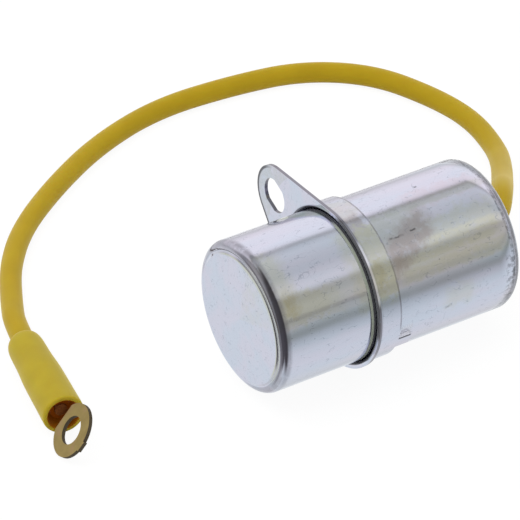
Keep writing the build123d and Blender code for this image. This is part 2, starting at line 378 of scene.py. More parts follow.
@dataclass(frozen=True)
class EarEdgeShade:
    """Painted shade round the ear's edge, full over its lower part and fading out towards its upper edge:
    inside two arcs and the lines that touch them.
    """

    face: Span = (BAND_FRONT - 0.2, BAND_FRONT + 0.05)
    depth: Span = (-0.46, -0.26)   # from the outline: where it starts and where it is full
    fade: Span = (3.6, 1.6)        # distance above the ear's middle over which it comes in
    soft: float = 0.03
    strength: float = 0.85
    tint: Tint = Tint.SOOT_AND_SHADE

    def cover(self, tree: Tree, at: Places) -> Socket:
        """How far the painted shade covers a point.

        Args:
            tree: The material's node tree.
            at: The places.

        Returns:
            From 0 to its strength.
        """
        turn = math.radians(EAR_ANGLE)
        ahead = (0.0, math.cos(turn), math.sin(turn))
        aside = (0.0, -math.sin(turn), math.cos(turn))
        out, above = (
            put(tree, "ShaderNodeVectorMath", {0: at["mm"], 1: way}, operation="DOT_PRODUCT").outputs["Value"]
            for way in (ahead, aside)
        )
        side = calc(tree, "ABSOLUTE", above)
        # distance past the straight side, which touches the lip's arc and the tip's
        fall = (LIP_RADIUS - EAR_TIP_RADIUS) / EAR_REACH
        run = math.sqrt(1 - fall * fall)
        straight = calc(tree, "MULTIPLY_ADD", side, run, calc(tree, "MULTIPLY_ADD", out, fall, -LIP_RADIUS))
        # distance past the tip's arc, which takes over where that side meets it
        past = calc(tree, "SUBTRACT", out, EAR_REACH)
        arc = calc(tree, "SUBTRACT", hypotenuse(tree, past, side), EAR_TIP_RADIUS)
        beyond = calc(tree, "GREATER_THAN", product(tree, past, run), product(tree, side, fall))
        outside = put(tree, "ShaderNodeMix", {0: beyond, 2: straight, 3: arc}).outputs[0]
        return product(tree, step(tree, outside, *self.depth), window(tree, at["x"], *self.face, self.soft),
                       step(tree, above, *self.fade), self.strength)


@dataclass(frozen=True)
class ZincPlate:
    """Bright zinc over drawn steel, passivated blue: a mirror gone soft, with stains, painted reflection
    tints, highlights and shade, scratches and pits.
    """

    name: str
    stains: tuple[Stain, ...] = ()
    edge_shade: EarEdgeShade | None = None

    metal: str = "#cdd3e1"
    second: str = "#d3d2e0"
    streak: float = 3.5            # width of the tint streaks
    streak_stretch: Triple = (0.22, 1.0, 1.0)   # streaks run along the can
    roughness: float = 0.10
    smudge_roughness: float = 0.17
    smudge: float = 2.2            # size of the smudges
    smudge_levels: Span = (0.45, 0.75)

    # edges of the stains
    shift: float = 1.3             # size of the breaks in their edges
    shift_reach: Span = (3.0, 26.0)   # how far those move an edge, along the can and round it
    thin: float = 0.5              # share of a stain that is left in its thin places
    thin_levels: Span = (0.30, 0.52)
    dot: float = 0.55              # size of the dots in a broken stain
    dot_levels: Span = (0.46, 0.56)
    soft_reach: float = 0.03       # softness of a stain's ends away from the axis

    # wear
    scratch: str = "#7f8796"
    scratch_strength: float = 0.42
    scribble: float = 1.3          # size of the fine scratches' loops
    scribble_width: float = 0.016   # of their lines to each side, as a level of the noise
    scribble_area: float = 0.8     # size of the areas that have them
    scribble_levels: Span = (0.46, 0.57)
    pit: float = 1.6               # spacing of the pits
    pit_share: Span = (0.72, 0.76)   # share of the spots that have no pit, and have none or a shallow one
    pit_edge: Span = (0.09, 0.05)    # radii, in shares of the spacing, where it starts and is full

    # relief
    stretch: Triple = (0.6, 1.0, 1.0)   # scratches and waves run a little along the can
    wave: float = 5.0              # length of the sheet's slight waves
    wave_height: float = 0.04      # for the whole range of the noise
    ripple: float = 0.9            # length of the small waves on them
    ripple_share: float = 0.06
    rim_start: float = 32.4        # where the can starts to draw in before the rim
    rim_fall: float = 0.12         # how fast it does

    def places(self, tree: Tree) -> Places:
        """Works out where a point lies on the can.

        Args:
            tree: The material's node tree.

        Returns:
            The place and the same drawn out along the can, its distance along the can and from its axis, and
            its angle.
        """
        mm = place_in_mm(tree)
        x, y, z = put(tree, "ShaderNodeSeparateXYZ", {0: mm}).outputs
        turn = calc(tree, "FRACT", calc(tree, "DIVIDE", calc(tree, "ARCTAN2", z, y), math.tau))
        drawn = put(tree, "ShaderNodeVectorMath", {0: mm, 1: self.stretch}, operation="MULTIPLY").outputs[0]
        return {"mm": mm, "drawn": drawn, "x": x, "angle": product(tree, turn, 360.0),
                "radius": hypotenuse(tree, y, z)}

    def stained(self, tree: Tree, at: Places, colour: Socket) -> tuple[Socket, Socket]:
        """Lays the stains over a colour, painted reflection tints, highlights and shade among them.

        Args:
            tree: The material's node tree.
            at: The places.
            colour: The colour under them.

        Returns:
            The colour with its stains, and how metallic the surface still is.
        """
        shine = put(tree, "ShaderNodeValue").outputs[0]
        shine.default_value = 1.0
        drift = put(tree, "ShaderNodeTexNoise", {"Vector": at["mm"], "Scale": 1 / self.shift, "Detail": 5.0,
                                                 "Roughness": 0.65}).outputs["Color"]
        *drifts, fill = put(tree, "ShaderNodeSeparateColor", {0: drift}).outputs
        drifts = [product(tree, calc(tree, "SUBTRACT", part, 0.5), reach)
                  for part, reach in zip(drifts, self.shift_reach)]
        thinned = swing(tree, step(tree, fill, *self.thin_levels), self.thin, 1.0)
        dots = patches(tree, at["mm"], self.dot, self.dot_levels, 2.0)
        for stain in self.stains:
            x, angle = (calc(tree, "MULTIPLY_ADD", moved, stain.wander, value)
                        for moved, value in zip(drifts, (at["x"], at["angle"])))
            angle = calc(tree, "MULTIPLY_ADD", at["x"], stain.lean, angle)
            cover = product(tree, window(tree, x, *stain.along, stain.soft[0]),
                            window(tree, angle, *stain.round, stain.soft[1]),
                            window(tree, at["radius"], *stain.reach, self.soft_reach))
            if stain.wander > 0:
                cover = product(tree, cover, thinned)
            if stain.broken > 0:
                cover = product(tree, cover, swing(tree, dots, 1 - stain.broken, 1.0))
            cover = product(tree, cover, stain.strength)
            colour = paint(tree, colour, stain.tint.value, cover)
            if stain.matte > 0:
                shine = calc(tree, "MULTIPLY_ADD", cover, -stain.matte, shine)
        # painted shade round the ear's edge
        if self.edge_shade:
            colour = paint(tree, colour, self.edge_shade.tint.value, self.edge_shade.cover(tree, at))
        return colour, shine

    def worn(self, tree: Tree, at: Places) -> Socket:
        """Fine scratches and pits.

        Args:
            tree: The material's node tree.
            at: The places.

        Returns:
            1 on a scratch or in a pit, 0 elsewhere.
        """
        loops = put(tree, "ShaderNodeTexNoise", {"Vector": at["drawn"], "Scale": 1 / self.scribble,
                                                 "Detail": 2.0}).outputs["Fac"]
        off = calc(tree, "ABSOLUTE", calc(tree, "SUBTRACT", loops, 0.5))
        lines = product(tree, step(tree, off, self.scribble_width, 0.0),
                        patches(tree, at["mm"], self.scribble_area, self.scribble_levels, 4.0, 0.7))
        cells = put(tree, "ShaderNodeTexVoronoi", {"Vector": at["mm"], "Scale": 1 / self.pit})
        chance = put(tree, "ShaderNodeSeparateColor", {0: cells.outputs["Color"]}).outputs[0]
        pits = product(tree, step(tree, cells.outputs["Distance"], *self.pit_edge),
                       step(tree, chance, *self.pit_share))
        return calc(tree, "MAXIMUM", lines, pits)

    def height(self, tree: Tree, at: Places) -> Socket:
        """The sheet's slight waves and the way it draws in before the rim.

        Args:
            tree: The material's node tree.
            at: The places.

        Returns:
            Height in millimetres.
        """
        long = put(tree, "ShaderNodeTexNoise", {"Vector": at["drawn"], "Scale": 1 / self.wave,
                                                "Detail": 1.0}).outputs["Fac"]
        short = put(tree, "ShaderNodeTexNoise", {"Vector": at["mm"], "Scale": 1 / self.ripple,
                                                 "Detail": 2.0}).outputs["Fac"]
        waves = calc(tree, "MULTIPLY_ADD", short, self.ripple_share, long)
        past = calc(tree, "MAXIMUM", calc(tree, "SUBTRACT", at["x"], self.rim_start), 0.0)
        return calc(tree, "MULTIPLY_ADD", waves, self.wave_height, product(tree, past, past, -self.rim_fall))

    def material(self) -> Material:
        """Builds the material.

        Returns:
            A node material on Object coordinates.
        """
        made, tree, shader = fresh(self.name)
        at = self.places(tree)
        along = put(tree, "ShaderNodeVectorMath", {0: at["mm"], 1: self.streak_stretch}, operation="MULTIPLY")
        streaks = put(tree, "ShaderNodeTexNoise", {"Vector": along.outputs[0], "Scale": 1 / self.streak,
                                                   "Detail": 3.0, "Roughness": 0.55}).outputs["Fac"]
        colour = two_tone(tree, streaks, self.second, self.metal, 0.10)
        colour, shine = self.stained(tree, at, colour)
        colour = paint(tree, colour, self.scratch, product(tree, self.worn(tree, at), self.scratch_strength))
        smudges = patches(tree, at["mm"], self.smudge, self.smudge_levels, 6.0, 0.65)
        feed(shader, {
            "Base Color": colour,
            "Metallic": shine,
            "Roughness": swing(tree, smudges, self.roughness, self.smudge_roughness),
            "Normal": put(tree, "ShaderNodeBump", {"Height": self.height(tree, at), "Strength": 1.0,
                                                   "Distance": MM}).outputs["Normal"],
        })
        return made


@dataclass(frozen=True)
class Vinyl:
    """Soft PVC, extruded or dipped: satin, a little light goes through, so thin walls glow."""

    name: str
    shade: str
    second: str
    roughness: float = 0.50
    specular: float = 0.15
    cloud: float = 4.0             # size of its uneven colour
    depth: float = 1.0             # how far light goes in
    depth_shares: Triple = (1.0, 0.55, 0.12)   # of red, green and blue light
    glow: float = 0.35
    bloom: float = 0.50            # pale bloom that shows at its edges
    bloom_roughness: float = 0.35
    bloom_tint: str = "#ffeba0"
    through: float = 0.0           # painted glow for the light that comes through the wall from its other side
    skin: float = 0.5              # grain of its surface
    skin_height: float = 0.03
    skin_strength: float = 0.15

    def material(self) -> Material:
        """Builds the material.

        Returns:
            A node material on Object coordinates.
        """
        made, tree, shader = fresh(self.name)
        mm = place_in_mm(tree)
        cloud, skin = (
            put(tree, "ShaderNodeTexNoise", {"Vector": mm, "Scale": 1 / size, "Detail": fine}).outputs["Fac"]
            for size, fine in ((self.cloud, 3.0), (self.skin, 2.0))
        )
        colour = two_tone(tree, cloud, self.second, self.shade)
        feed(shader, {
            "Base Color": colour,
            "Roughness": self.roughness,
            "Specular IOR Level": self.specular,
            "Subsurface Weight": self.glow,
            "Subsurface Radius": self.depth_shares,
            "Subsurface Scale": self.depth * MM,
            "Sheen Weight": self.bloom,
            "Sheen Roughness": self.bloom_roughness,
            "Sheen Tint": srgb(self.bloom_tint),
            "Emission Color": colour,
            "Emission Strength": self.through,
            "Normal": put(tree, "ShaderNodeBump", {"Height": skin, "Strength": self.skin_strength,
                                                   "Distance": self.skin_height * MM}).outputs["Normal"],
        })
        return made


@dataclass(frozen=True)
class StampedBrass:
    """Brass strip, blanked and gone dull: satin, olive brown, with painted shade on its cut walls and painted
    brown shade and glow inside the sleeve.
    """

    line: TerminalLine
    name: str = "brass strip, stamped, dulled"
    shade: str = "#a69359"
    second: str = "#9a8751"
    cloud: float = 1.6             # size of its uneven colour
    blush: str = "#a88b63"
    blush_strength: float = 0.6
    blush_size: float = 2.2
    blush_levels: Span = (0.50, 0.62)
    # painted shade on the cut walls
    cut_wall_shade: str = "#463c2c"
    sheared_strength: float = 0.95
    sheared_from: Span = (0.92, 0.70)   # cosines off the flat ring between which a wall counts as sheared
    hidden: str = "#7a3a04"        # painted brown shade on the brass inside the sleeve
    hidden_from: Span = (0.1, 1.1)   # distances inside the sleeve's mouth between which it darkens
    # painted glow of the brass inside the sleeve
    hidden_glow: float = 0.20
    hidden_specular: float = 0.05
    roughness: float = 0.32
    dull_roughness: float = 0.72   # where it is sheared or hidden
    dull_metallic: float = 0.2
    relief: float = 0.03
    relief_strength: float = 0.2

    def material(self) -> Material:
        """Builds the material.

        Returns:
            A node material on Object coordinates.
        """
        made, tree, shader = fresh(self.name)
        mm = place_in_mm(tree)
        cloud = put(tree, "ShaderNodeTexNoise", {"Vector": mm, "Scale": 1 / self.cloud,
                                                 "Detail": 5.0}).outputs["Fac"]
        colour = two_tone(tree, cloud, self.second, self.shade)
        warm = patches(tree, mm, self.blush_size, self.blush_levels, 4.0, 0.6)
        colour = paint(tree, colour, self.blush, product(tree, warm, self.blush_strength))
        normal = put(tree, "ShaderNodeNewGeometry").outputs["Normal"]
        mouth = self.line.back(self.line.mouth)
        inside = put(tree, "ShaderNodeVectorMath", {0: mm, 1: mouth}, operation="SUBTRACT").outputs[0]
        facing, past = (
            put(tree, "ShaderNodeVectorMath", {0: vector, 1: way}, operation="DOT_PRODUCT").outputs["Value"]
            for vector, way in ((normal, self.line.face), (inside, self.line.along))
        )
        cut = step(tree, calc(tree, "ABSOLUTE", facing), *self.sheared_from)
        colour = paint(tree, colour, self.cut_wall_shade, product(tree, cut, self.sheared_strength))
        deep = step(tree, past, *self.hidden_from)
        colour = paint(tree, colour, self.hidden, deep)
        dull = calc(tree, "MAXIMUM", cut, deep)
        feed(shader, {
            "Base Color": colour,
            "Metallic": swing(tree, dull, 1.0, self.dull_metallic),
            "Roughness": swing(tree, dull, self.roughness, self.dull_roughness),
            "Specular IOR Level": swing(tree, deep, 0.5, self.hidden_specular),
            "Emission Color": colour,
            "Emission Strength": product(tree, deep, self.hidden_glow),
            "Normal": put(tree, "ShaderNodeBump", {"Height": cloud, "Strength": self.relief_strength,
                                                   "Distance": self.relief * MM}).outputs["Normal"],
        })
        return made


# ---------------------------------------------------------------- metal and inner pieces


@dataclass
class Can:
    """The drawn can and its plating."""

    stains: tuple[Stain, ...] = (
        # painted reflection tints: bands laid along the can where its reflected bands fall, from the closed
        # end back
        Stain(Tint.OLIVE, (0.4, 3.4), (102, 136), 0.60, (1.4, 5)),
        Stain(Tint.OLIVE, (0.4, 8.5), (138, 160), 0.50, (2.0, 3)),
        Stain(Tint.BROWN, (1.2, 3.2), (134, 151), 0.65, (0.9, 4)),
        Stain(Tint.OLIVE, (11.6, 13.4), (104, 166), 0.50, (1.0, 5)),
        Stain(Tint.SHEAR_AND_SHADE, (0.9, 13.0), (152, 155), 0.25, (0.5, 1), wander=0.05),
        # painted reflection and shade of the ear on the can
        Stain(Tint.SAGE, (8.0, 13.3), (0, 20), 0.90, (0.4, 3), lean=-4.8, wander=0.1),
        Stain(Tint.DUST_AND_REFLECTION, (17.0, 23.5), (104, 132), 0.70, (0.8, 4)),
        Stain(Tint.OLIVE, (22.5, 34.0), (118, 134), 0.50, (1.5, 5)),
        Stain(Tint.STRAW, (22.0, 34.0), (131, 139), 0.55, (1.5, 2), wander=0.25),
        Stain(Tint.OLIVE, (19.0, 33.0), (140, 147), 0.60, (1.5, 2), wander=0.2),
        Stain(Tint.OLIVE, (18.0, 34.0), (148, 158), 0.55, (1.5, 2), wander=0.3),
        Stain(Tint.PLUM, (17.0, 24.6), (187, 212), 0.90, (1.2, 6), lean=3.4, wander=0.8),
        Stain(Tint.PINK, (22.5, 34.0), (92, 108), 0.45, (1.5, 4)),
        Stain(Tint.DUST_AND_REFLECTION, (17.0, 34.0), (100, 107), 0.60, (1.5, 1.5), wander=0.2),
        Stain(Tint.OLIVE, (24.0, 28.5), (172, 190), 0.35, (1.0, 5)),
        # dark marks
        Stain(Tint.SOOT_AND_SHADE, (18.4, 20.4), (122.8, 124.4), 0.60, (0.3, 0.5), wander=0.15, broken=0.6),
        Stain(Tint.SOOT_AND_SHADE, (21.5, 22.3), (121.6, 122.8), 0.75, (0.1, 0.4), wander=0.1),
        Stain(Tint.SOOT_AND_SHADE, (26.0, 26.4), (86.2, 88.0), 0.65, (0.1, 0.4), wander=0.1),
        Stain(Tint.SOOT_AND_SHADE, (10.9, 11.8), (94.6, 95.6), 0.50, (0.2, 0.4), wander=0.1),
        Stain(Tint.SOOT_AND_SHADE, (24.0, 25.0), (187.0, 188.5), 0.35, (0.2, 0.6), wander=0.3, broken=0.6),
        # painted shade on the can where it meets the lip: a dark line, the strip that faces the lip, and the
        # gap under it
        Stain(Tint.GROOVE_SHADE, (12.92, 13.30), (95, 260), 1.00, (0.04, 5),
              reach=CAN_SKIN, wander=0.0, matte=1.0),
        Stain(Tint.SOOT_AND_SHADE, (12.80, 12.94), (153, 205), 0.55, (0.05, 4), wander=0.03),
        Stain(Tint.SOOT_AND_SHADE, (13.30, 13.60), ALL_ROUND, 0.90, (0.04, 2), reach=CAN_SKIN, wander=0.0, matte=0.9),
        # dull plate beside the tongue
        Stain(Tint.PLATE, (17.15, 19.3), (192, 208), 0.70, (0.2, 3), reach=CAN_SKIN, wander=0.0, matte=0.9),
        # coined ring on the closed end and round its fillet: painted tinted, dark and matte rings that stand
        # in for the step's reflections and shade
        Stain(Tint.OLIVE, CLOSED_END, (60, 210), 0.75, (0.1, 9), reach=(8.36, 8.62), wander=0.0),
        Stain(Tint.OLIVE, CLOSED_END, (92, 150), 0.55, (0.1, 8), reach=(8.05, 8.50), wander=0.02),
        Stain(Tint.SOOT_AND_SHADE, (-0.5, 0.25), (45, 225), 0.30, (0.1, 9), reach=(8.86, 8.98), wander=0.0),
        Stain(Tint.DUST_AND_REFLECTION, (-0.5, 0.3), (100, 215), 0.80, (0.1, 9),
              reach=(8.70, 9.05), wander=0.0, matte=0.6),
        Stain(Tint.SHEAR_AND_SHADE, (-0.5, 0.4), (95, 215), 0.60, (0.1, 9), reach=(9.08, 9.36), wander=0.0),
        Stain(Tint.SHEAR_AND_SHADE, (0.55, 1.30), (70, 215), 0.50, (0.30, 12), wander=0.05),
        Stain(Tint.SHEAR_AND_SHADE, (-0.5, 1.0), (10, 100), 0.40, (0.2, 9), reach=(8.95, 10.2), wander=0.1),
        Stain(Tint.SHEAR_AND_SHADE, (-0.5, 0.8), (198, 260), 0.40, (0.2, 9), reach=(8.95, 9.75), wander=0.1),
        # rolled rim
        Stain(Tint.SOOT_AND_SHADE, (34.15, 34.60), ALL_ROUND, 0.55, (0.10, 2), wander=0.1, broken=0.6),
        Stain(Tint.SOOT_AND_SHADE, (33.4, 34.5), (163, 202), 0.45, (0.3, 5), wander=0.4, broken=1.0),
        Stain(Tint.SHEAR_AND_SHADE, (34.72, 35.25), ALL_ROUND, 0.80, (0.05, 2), wander=0.05),
        Stain(Tint.SOOT_AND_SHADE, (34.95, 35.12), ALL_ROUND, 0.40, (0.05, 2), wander=0.05),
    )

    def dress(self, node: Piece) -> None:
        """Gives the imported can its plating."""
        dress(node, ZincPlate("zinc plate on the drawn can", self.stains).material())


@dataclass
class Band:
    """The stamped band: collar, lip, ear and tongue in one sheet."""

    stains: tuple[Stain, ...] = (
        # painted reflection tints on the collar, and a painted shade line along its rear edge
        Stain(Tint.BROWN, (13.95, 17.2), (74, 99), 0.32, (0.2, 4)),
        Stain(Tint.PLUM, (14.0, 16.2), (96, 118), 0.70, (0.3, 4)),
        Stain(Tint.OLIVE, (13.95, 17.2), (108, 161), 0.75, (0.2, 3)),
        Stain(Tint.BROWN, (14.5, 15.6), (134, 153), 0.45, (0.4, 3)),
        Stain(Tint.SHEAR_AND_SHADE, (16.88, 17.2), (60, 190), 0.55, (0.05, 2), reach=(10.3, 12), wander=0.08),
        # sheared edges of the sheet: dark grey cut steel with painted shade along the ear and in its slot,
        # and a painted highlight on the lip's edge
        Stain(Tint.DUST_AND_REFLECTION, (13.30, 13.50), (0, 120), 0.50, (0.1, 2), reach=(14.5, 30), wander=0.3),
        Stain(Tint.SOOT_AND_SHADE, SHEARED, (0, 120), 0.45, (0.04, 2), reach=(11.5, 90), wander=0.0),
        Stain(Tint.SOOT_AND_SHADE, SHEARED, (12, 38), 0.78, (0.04, 2), reach=(11.8, 17.0), wander=0.0),
        Stain(Tint.SOOT_AND_SHADE, SHEARED, (50, 112), 0.45, (0.04, 8), reach=(10.6, 11.5), wander=0.0),
        Stain(Tint.SHEAR_AND_SHADE, SHEARED, ALL_ROUND, 0.70, (0.04, 2), reach=(10.6, 90), wander=0.0),
        Stain(Tint.SHEAR_AND_SHADE, SHEARED, (160, 205), 0.60, (0.04, 3), reach=LIP_EDGE, wander=0.0),
        Stain(Tint.HIGHLIGHT, (13.60, 13.95), (120, 164), 0.85, (0.04, 3), reach=(10.8, 11.2), wander=0.0),
        # painted dark reflection on the lip's front face, and painted shade where the collar meets the can
        Stain(Tint.SOOT_AND_SHADE, (13.30, 13.62), (96, 190), 0.85, (0.04, 4), reach=LIP_EDGE, wander=0.0, matte=0.9),
        Stain(Tint.SOOT_AND_SHADE, (13.42, 14.4), ALL_ROUND, 0.80, (0.04, 2), reach=(9.9, 10.5), wander=0.0),
        # side of the tongue: a painted highlight, and a painted shadow line along its outer edge
        Stain(Tint.HIGHLIGHT, (17.22, 19.6), (185, 225), 0.95, (0.03, 2),
              reach=(9.9, 10.46), wander=0.0, matte=0.9),
        Stain(Tint.SOOT_AND_SHADE, (17.1, 18.9), (198, 200.6), 0.95, (0.10, 0.3), reach=(10.49, 10.8), wander=0.0),
    )
    # painted shade round the ear's edge
    edge_shade: EarEdgeShade = EarEdgeShade()

    def dress(self, node: Piece) -> None:
        """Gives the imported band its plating."""
        dress(node, ZincPlate("zinc plate on the stamped band", self.stains, self.edge_shade).material())


@dataclass
class Stack:
    """The pieces packed into the can, dressed where they are."""

    finishes: dict[str, Plain] = field(default_factory=lambda: {
        "end_disc": Plain("phenolic paper, punched", "#6b4429", "#52311c", 0.6, 0.45),
        "rubber_seal": Plain("rubber, moulded", "#262626", "#1b1b1b", 0.4, 0.75),
        "contact_plate": Plain("brass sheet, blanked", "#c9ab64", "#b89a58", 1.2, 0.3, 1.0),
        "lead_eyelet": Plain("brass eyelet, drawn", "#c9ab64", "#b89a58", 0.8, 0.25, 1.0),
        "solder_joint": Plain("tin-lead solder, frozen", "#b4b6b8", "#9a9c9e", 0.5, 0.3, 1.0),
        "live_end_spray": Plain("zinc, arc sprayed", "#8f9398", "#6f7378", 0.15, 0.7, 1.0, 0.6),
        "earth_end_spray": Plain("zinc, arc sprayed", "#8f9398", "#6f7378", 0.15, 0.7, 1.0, 0.6),
        "winding": Plain("capacitor paper, wound and waxed", "#d8ceb2", "#c8bb98", 0.3, 0.5),
        "winding_core": Plain("board tube, spiral wound", "#b09068", "#96764f", 0.4, 0.85),
        "winding_liner": Plain("kraft paper, waxed", "#a07c50", "#8a683f", 0.5, 0.6),
        "earth_disc": Plain("tinned steel, blanked", "#c6c7c5", "#b4b5b3", 1.0, 0.3, 1.0),
        "pressure_spring": Plain("spring steel, hardened and oiled", "#5a5d63", "#474a50", 0.8, 0.35, 1.0),
    })

    def dress(self, nodes: dict[str, Piece]) -> None:
        """Gives each inner node its finish.

        Args:
            nodes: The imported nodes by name.
        """
        for name, finish in self.finishes.items():
            dress(nodes[name], finish.material())


# ---------------------------------------------------------------- lead


@dataclass
class Lead:
    """Yellow single-core lead: a smooth line through the air and along the table into its sleeve."""

    line: TerminalLine
    diameter: float = 2.9
    core: float = 1.6
    length: float = 169.4
    exit: Triple = (35.2, 0.0, 0.0)
    jacket: Span = (32.5, 9.5)     # where it starts on the can's axis, and ends short of the ring's centre
    strand: Span = (31.1, 4.6)     # the same
    last_bend: float = 23.5        # distance from the ring's centre
    roundness: int = 7             # bevel resolution of its girth
    smoothness: int = 16           # pieces between two points

    def route(self, start: float, end: float) -> list[Vector]:
        """The points that the lead's line is drawn by.

        Args:
            start: Where it starts on the can's axis, in millimetres.
            end: Where it ends, in millimetres from the ring's centre.

        Returns:
            The points in metres.
        """
        lay = self.diameter / 2 - LIP_RADIUS
        points = [
            (start, 0.0, 0.0),
            (36.95, 0.0, 0.0),
            (40.3, 1.55, 0.3),
            (43.7, 5.8, 0.4),
            (48.7, 12.6, -4.3),
            (53.9, 19.9, -7.6),
            (57.4, 26.0, lay),
            (58.9, 33.8, lay),
            (57.6, 41.6, lay),
            (53.8, 50.9, lay),
            (45.8, 57.1, lay),
            (35.6, 59.0, lay),
            (23.6, 59.5, lay),
            (12.2, 56.0, lay),
            (2.1, 50.2, lay),
            (-6.6, 43.7, lay),
            (-12.2, 36.9, lay),
            (-15.9, 29.9, lay),
            self.line.back(self.last_bend),
            self.line.back(end),
        ]
        return [Vector(p) * MM for p in points]

    def bar(self, name: str, points: list[Vector], diameter: float) -> Piece:
        """A round bar along a smooth line.

        Args:
            name: The piece's name.
            points: Control points in metres.
            diameter: In millimetres.

        Returns:
            A curve object with filled ends.
        """
        curve = bpy.data.curves.new(name, "CURVE")
        curve.dimensions = "3D"
        curve.bevel_depth = 1.0   # the points carry the radius
        curve.bevel_resolution = self.roundness
        curve.use_fill_caps = True
        spline = curve.splines.new("NURBS")
        spline.points.add(len(points) - 1)
        for point, place in zip(spline.points, points):
            point.co = (*place, 1.0)
            point.radius = diameter / 2 * MM
        spline.order_u = 3
        spline.use_endpoint_u = True
        spline.resolution_u = self.smoothness
        piece = add(bpy.data.objects.new(name, curve))
        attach(piece, BODY)
        return piece

    def build(self, others: list[Piece]) -> None:
        """Builds the insulation and the strand.

        Args:
            others: The pieces on the lead, which are its sleeve and its terminal. Not used.
        """
        jacket = self.bar("lead", self.route(*self.jacket), self.diameter)
        dress(jacket, Vinyl("vinyl insulation, extruded", "#b39714", "#ae9212").material())
        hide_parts("lead_jacket")
        jacket.visible_glossy = False   # keeps the can's mirror clear of it
        strand = self.bar("strand", self.route(*self.strand), self.core)
        # the strand is painted brown like the shade inside the sleeve, where it shows
        copper = Plain("copper strand, painted brown like the sleeve's shade", "#9a5a20", "#7d4518", 0.2, 0.7, 0.2, 0.4)
        dress(strand, copper.material())
        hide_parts("lead_strand")
        LOG.info("lead: %.0f mm long, %.1f mm thick", self.length, self.diameter)


@dataclass
class Sleeve:
    """Soft sleeve dipped in one piece: open at the ring, swollen over the crimps, drawn in to the lead."""

    line: TerminalLine
    wall: float = 0.5
    lip: float = 0.12            # round of the mouth's edge
    bead: float = 0.22           # how much thicker the wall is at the mouth
    bead_length: float = 1.8
    lead_hole: float = 1.5
    neck: float = 2.6            # length that hugs the lead
    draw: float = 0.6            # length over which the bore draws in to that
    bore: float = 2.3            # no inner face lies further from the axis
    inward: float = -0.3         # nor looks further outwards, as a cosine
    sides: int = 64
    # outside: distance from the mouth and radius
    outside: tuple[Span, ...] = (
        (0.0, 2.62), (0.25, 2.70), (1.6, 2.68), (5.0, 2.64), (8.0, 2.62), (9.6, 2.56),
        (11.2, 2.43), (13.0, 2.38), (15.2, 2.35), (16.0, 2.24), (16.5, 2.02), (16.8, 1.62),
    )

    def materials(self) -> list[Material]:
        """The vinyl outside, and a browner copy inside: painted shade, with a painted glow for the light that
        comes only through the wall.
        """
        return [
            Vinyl("vinyl sleeve, dipped", "#b4a026", "#ad9823").material(),
            Vinyl("vinyl sleeve, inside", "#a05f06", "#8c4e04", 0.9, bloom=0.0, through=0.14).material(),
        ]

    def outline(self) -> list[Span]:
        """The wall's outline, from the lead's hole out over the mouth and back.

        Returns:
            Distance from the mouth and radius of each point, in millimetres.
        """
        last = self.outside[-1][0]
        neck = last - self.neck
        mouth = self.outside[1][1] - self.wall - self.bead
        inside = [(self.lip, mouth), (self.bead_length, mouth + self.bead / 3)]
        inside += [(place, radius - self.wall) for place, radius in self.outside
                   if self.bead_length < place < neck]
        inside += [(neck + self.draw, self.lead_hole), (last, self.lead_hole)]
        return [*reversed(inside), (0.0, mouth + self.lip), *self.outside]

    def turned(self) -> bpy.types.Mesh:
        """Turns the outline about the terminal's line.

        Returns:
            The mesh, with its inner faces in the second material.
        """
        start = self.line.back(self.line.mouth) * MM
        along = self.line.along
        across = along.cross(Vector((0, 0, 1))).normalized()
        shape = bmesh.new()
        points = [shape.verts.new(start + along * (p * MM) + across * (r * MM)) for p, r in self.outline()]
        for first, second in zip(points, [*points[1:], points[0]]):
            shape.edges.new((first, second))
        bmesh.ops.spin(shape, geom=[*shape.verts, *shape.edges], cent=start, axis=along, angle=math.tau,
                       steps=self.sides, use_merge=True)
        bmesh.ops.recalc_face_normals(shape, faces=shape.faces)
        for face in shape.faces:
            face.smooth = True
            middle = face.calc_center_median() - start
            away = middle - along * middle.dot(along)
            faces_in = face.normal.dot(away.normalized()) < self.inward
            face.material_index = int(faces_in and away.length < self.bore * MM)
        mesh = bpy.data.meshes.new("sleeve")
        shape.to_mesh(mesh)
        shape.free()
        return mesh

    def build(self) -> Piece:
        """Builds the sleeve.

        Returns:
            The piece.
        """
        piece = add(bpy.data.objects.new("sleeve", self.turned()))
        for material in self.materials():
            piece.data.materials.append(material)
            LOG.info("%s: %s", piece.name, material.name)
        rounding = piece.modifiers.new("rounding", "SUBSURF")
        rounding.levels = 2
        rounding.render_levels = 2
        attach(piece, BODY)
        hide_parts("terminal_sleeve")
        piece.visible_glossy = False   # as for the lead
        return piece


# ---------------------------------------------------------------- studio


class Hue(Enum):
    """Colours of the light that comes from each part of the studio."""

    PLAIN = (1.0, 1.0, 1.0)
    LILAC = (1.03, 1.0, 1.02)
    SKY = (0.97, 1.01, 1.03)
    OLIVE = (1.03, 1.0, 0.88)
    GREY = (1.01, 1.0, 0.93)
    PLUM = (1.0, 0.92, 1.0)
    SAGE = (0.97, 1.02, 0.97)


def lit(light: float, hue: Hue) -> Colour:
    """A hue at that brightness."""
    red, green, blue = hue.value
    return (light * red, light * green, light * blue, 1.0)


